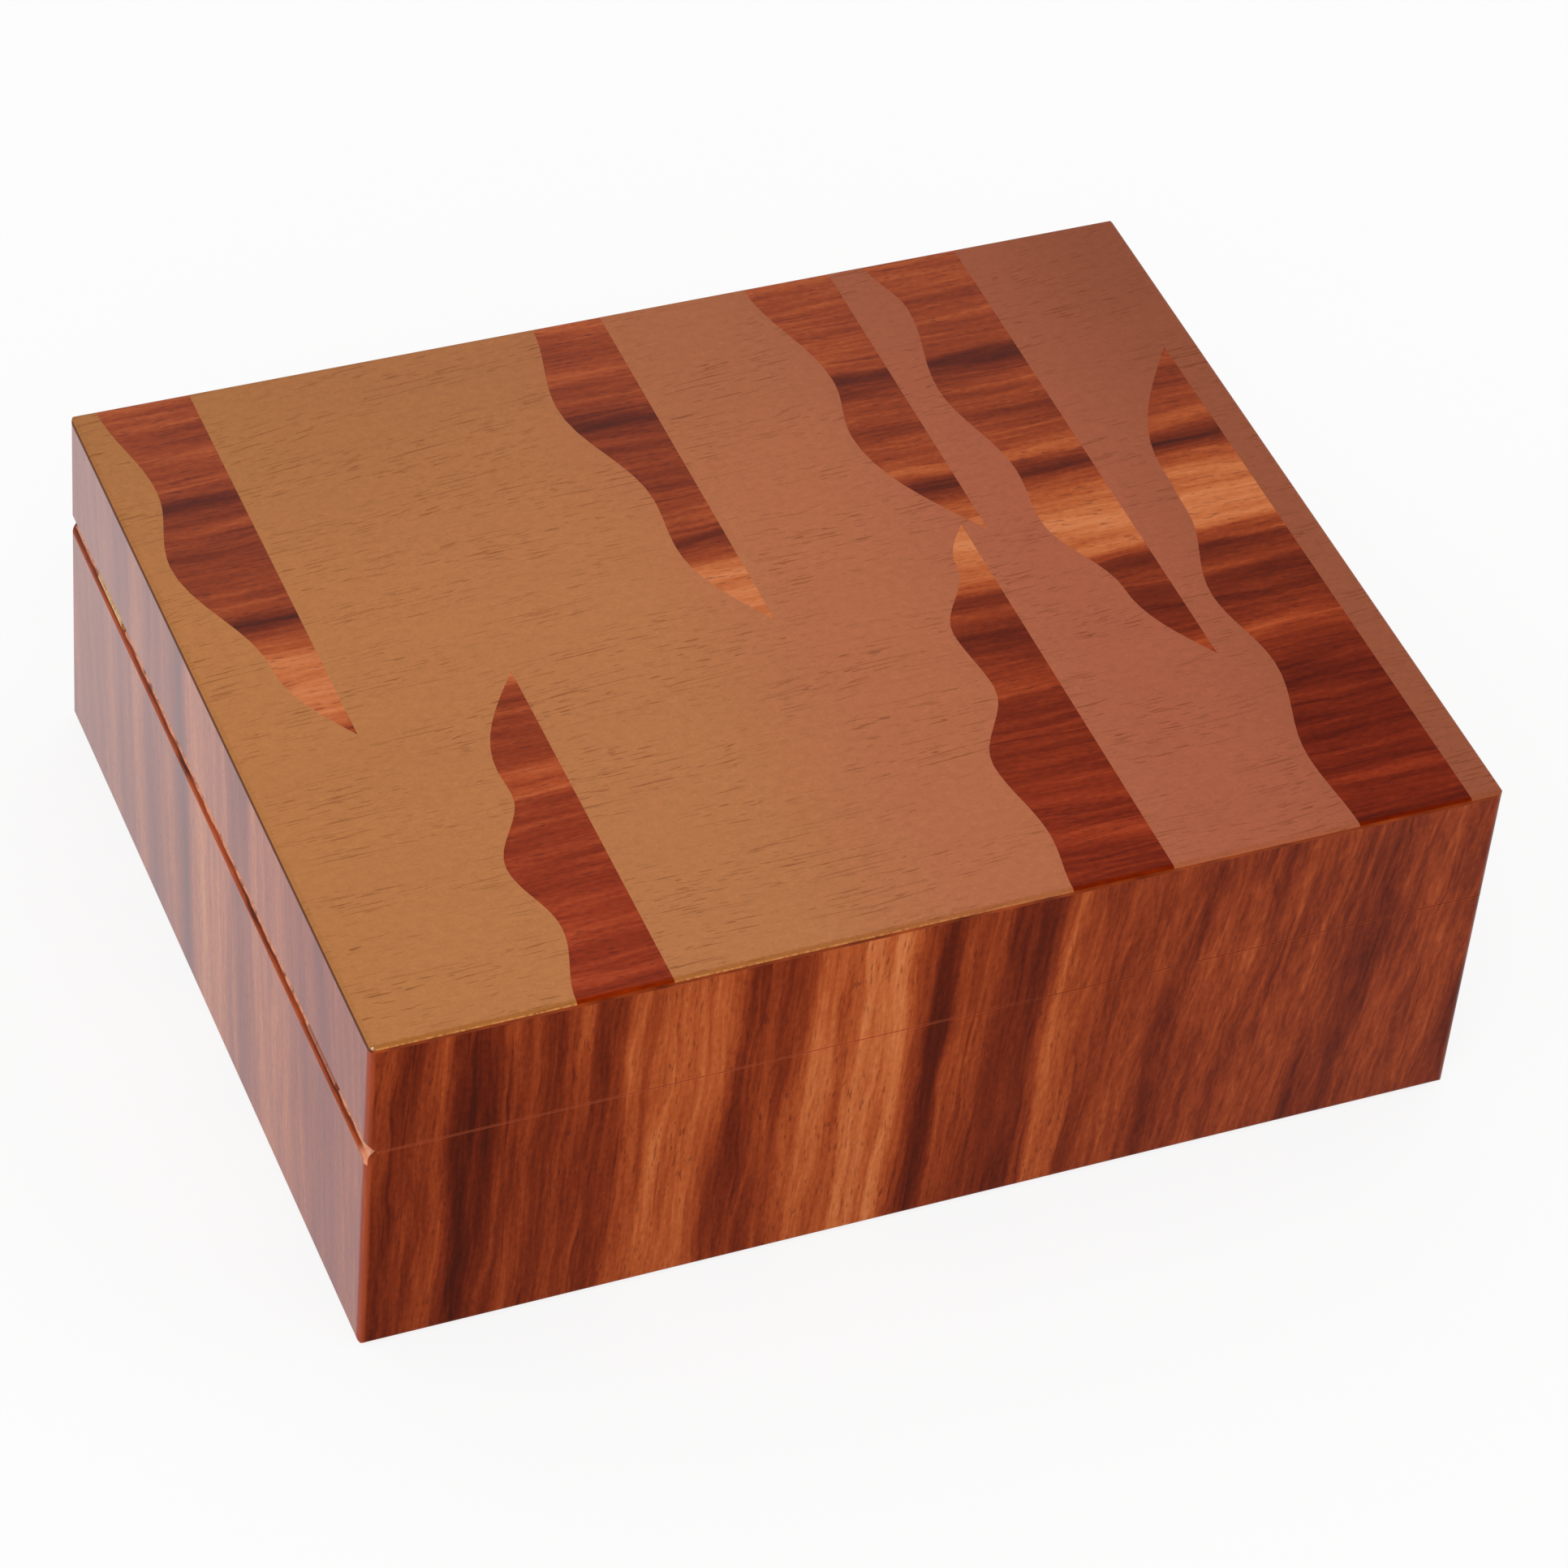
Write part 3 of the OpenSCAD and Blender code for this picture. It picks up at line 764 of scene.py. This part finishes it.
def soft_panel(name, node, edge_mm, crown_mm, up, roughness_mm, seed):
    """A closed panel in the place of a CAD solid. Its face on side up is crowned and its edge is rounded."""
    low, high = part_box(node)
    size = (high - low) / MM
    columns = round(size.x / CELL_MM)
    rows = round(size.y / CELL_MM)
    near_z = low.z if up > 0 else high.z
    edge_height = EDGE_SHARE * size.z
    shake = random.Random(seed)
    vertices = []
    for face_up in (1, 0):
        for j in range(rows + 1):
            for i in range(columns + 1):
                x = size.x * i / columns
                y = size.y * j / rows
                inset = min(1.0, min(x, y, size.x - x, size.y - y) / edge_mm)
                roundness = math.sqrt(max(0.0, 1 - (1 - inset) ** 2))
                height = edge_height + (size.z - edge_height - crown_mm) * roundness
                height += crown_mm * math.sin(math.pi * i / columns) * math.sin(math.pi * j / rows)
                height -= roughness_mm * shake.random() * inset
                vertices.append((low.x + x * MM, low.y + y * MM, near_z + up * height * MM * face_up))
    faces = panel_faces(columns, rows)
    if up < 0:
        faces = [list(reversed(face)) for face in faces]
    mesh = bpy.data.meshes.new(name)
    mesh.from_pydata(vertices, [], faces)
    mesh.shade_smooth()
    mesh.update()
    piece = bpy.data.objects.new(name, mesh)
    bpy.context.scene.collection.objects.link(piece)
    return piece


# ---------------------------------------------------------------- putting it together


def dress(node, material):
    """Gives a CAD node its finish."""
    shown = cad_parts[node]
    shown.data.materials.clear()
    shown.data.materials.append(material)


def dress_the_box():
    """Gives every CAD node of wood or brass its finish."""
    carcass_x = plain_wood("carcass_wood_x", CARCASS_PALE, CARCASS_DARK, "x", 101)
    carcass_y = plain_wood("carcass_wood_y", CARCASS_PALE, CARCASS_DARK, "y", 111)
    lining_x = plain_wood("lining_wood_x", LINING_PALE, LINING_DARK, "x", 121)
    lining_y = plain_wood("lining_wood_y", LINING_PALE, LINING_DARK, "y", 131)
    rosewoods = {
        "front": front_rosewood(200),
        "back": plain_side_rosewood("back", BACK_FIGURE, 210),
        "left": hinge_side_rosewood(220),
        "right": plain_side_rosewood("right", RIGHT_FIGURE, 230),
    }
    for side, rosewood in rosewoods.items():
        lengthways = side in ("front", "back")
        for part in ("base", "lid"):
            dress(f"{part}_{side}_veneer", rosewood)
            dress(f"{part}_{side}_wall", carcass_x if lengthways else carcass_y)
            dress(f"{part}_{side}_lining", lining_x if lengthways else lining_y)
    dress("base_bottom_panel", carcass_x)
    dress("lid_top_panel", carcass_x)
    dress("lid_field_veneer", field_stain())
    inlay = stripe_rosewood()
    for number in range(1, 8):
        dress(f"inlay_stripe_{number}", inlay)
    hinge_brass = brass("brushed_brass", 0.28)
    for end in ("front", "back"):
        for piece in ("lower_leaf", "upper_leaf", "pin"):
            dress(f"{end}_hinge_{piece}", hinge_brass)
    screw_brass = brass("turned_brass", 0.22)
    dress("lower_leaf_screws", screw_brass)
    dress("upper_leaf_screws", screw_brass)


def add_soft_pieces():
    """The felt under the box and the two suede pads, in place of their CAD solids."""
    underside = soft_panel(
        "felt_sheet", "base_felt", edge_mm=1.0, crown_mm=0.0, up=-1, roughness_mm=0.12, seed=7
    )
    underside.data.materials.append(felt())
    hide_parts("base_felt")
    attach(underside, "base")
    floor_pad = soft_panel(
        "floor_pad_suede", "base_floor_pad", edge_mm=2.0, crown_mm=0.35, up=1, roughness_mm=0.05, seed=5
    )
    floor_pad.data.materials.append(suede("suede_floor", 31))
    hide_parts("base_floor_pad")
    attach(floor_pad, "base")
    lid_pad = soft_panel(
        "lid_pad_suede", "lid_ceiling_pad", edge_mm=2.0, crown_mm=0.3, up=-1, roughness_mm=0.05, seed=6
    )
    lid_pad.data.materials.append(suede("suede_lid", 41))
    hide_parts("lid_ceiling_pad")
    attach(lid_pad, "lid")


# ---------------------------------------------------------------- floor, light and camera

FLOOR_HALF = 3.0
# A hair under the felt, so that the two faces never share a plane
FLOOR_Z = -0.05 * MM
PAPER = (0.93, 0.93, 0.93)
FLOOR_GLOW = 0.84
SKY_LIGHT = 0.80
LAMP_PLACE = (-0.9, -1.6, 2.2)
LAMP_AIM = (0, 0, 0.05)
LAMP_SIZE = 1.6
LAMP_POWER = 18
CAMERA_PLACE = (-0.4246, -0.8988, 0.9572)
CAMERA_AIM = (0.0014, -0.0127, 0.0460)
CAMERA_ROLL = 5.80
CAMERA_LENS = 136.32
SENSOR = 36.0
NEAREST_SEEN = 0.05
FARTHEST_SEEN = 20


def in_plain_sight(workings):
    """1 for the camera, for reflections and through glass, and 0 for the light that falls on the box."""
    camera = workings.node("ShaderNodeLightPath", output="Is Camera Ray")
    path = camera.socket.node
    glossy = Wire(workings, path.outputs["Is Glossy Ray"])
    clear = Wire(workings, path.outputs["Is Transmission Ray"])
    return clamp(camera + glossy + clear)


def add_floor():
    """A sheet of white paper that glows where it is looked at, and still takes the box's shadow."""
    reach = FLOOR_HALF
    corners = [(-reach, -reach, 0), (reach, -reach, 0), (reach, reach, 0), (-reach, reach, 0)]
    mesh = bpy.data.meshes.new("floor")
    mesh.from_pydata(corners, [], [(0, 1, 2, 3)])
    floor = bpy.data.objects.new("floor", mesh)
    floor.location.z = FLOOR_Z
    bpy.context.scene.collection.objects.link(floor)
    paper = Finish("paper_floor", base_color=PAPER, roughness=0.9, specular_ior_level=0.0)
    lit = Wire(paper, paper.surface.outputs[0])
    glow = paper.node("ShaderNodeEmission", inputs={"Color": WHITE, "Strength": 1.0})
    share = in_plain_sight(paper) * FLOOR_GLOW
    shown = paper.node("ShaderNodeMixShader", inputs={0: share, 1: lit, 2: glow})
    paper.feed(paper.tree.nodes["Material Output"].inputs["Surface"], shown)
    mesh.materials.append(paper.material)


def add_world():
    """Even light from a white studio."""
    world = bpy.data.worlds.new("studio")
    bpy.context.scene.world = world
    world.use_nodes = True
    studio = Workings(world.node_tree)
    sky = studio.node("ShaderNodeBackground", inputs={"Color": WHITE, "Strength": SKY_LIGHT})
    backdrop = studio.node("ShaderNodeBackground", inputs={"Color": WHITE, "Strength": 1.0})
    shown = studio.node("ShaderNodeMixShader", inputs={0: in_plain_sight(studio), 1: sky, 2: backdrop})
    studio.feed(world.node_tree.nodes["World Output"].inputs["Surface"], shown)


def facing(place, aim):
    """Rotation of a lamp or camera at a place that looks at an aim."""
    return (Vector(aim) - Vector(place)).to_track_quat("-Z", "Y")


def add_lamp():
    """One large soft box, high in front and to the left."""
    lamp = bpy.data.lights.new("soft_box", "AREA")
    lamp.shape = "SQUARE"
    lamp.size = LAMP_SIZE
    lamp.energy = LAMP_POWER
    shown = bpy.data.objects.new("soft_box", lamp)
    shown.location = LAMP_PLACE
    shown.rotation_mode = "QUATERNION"
    shown.rotation_quaternion = facing(LAMP_PLACE, LAMP_AIM)
    bpy.context.scene.collection.objects.link(shown)


def add_camera():
    """A long lens, rolled a few degrees."""
    data = bpy.data.cameras.new("camera")
    data.lens = CAMERA_LENS
    data.sensor_width = SENSOR
    data.clip_start = NEAREST_SEEN
    data.clip_end = FARTHEST_SEEN
    camera = bpy.data.objects.new("camera", data)
    camera.rotation_mode = "QUATERNION"
    camera.location = CAMERA_PLACE
    roll = Quaternion((0, 0, 1), math.radians(CAMERA_ROLL))
    camera.rotation_quaternion = facing(CAMERA_PLACE, CAMERA_AIM) @ roll
    bpy.context.scene.collection.objects.link(camera)
    bpy.context.scene.camera = camera


dress_the_box()
add_soft_pieces()
add_floor()
add_world()
add_lamp()
add_camera()
bpy.context.scene.view_settings.view_transform = "Standard"
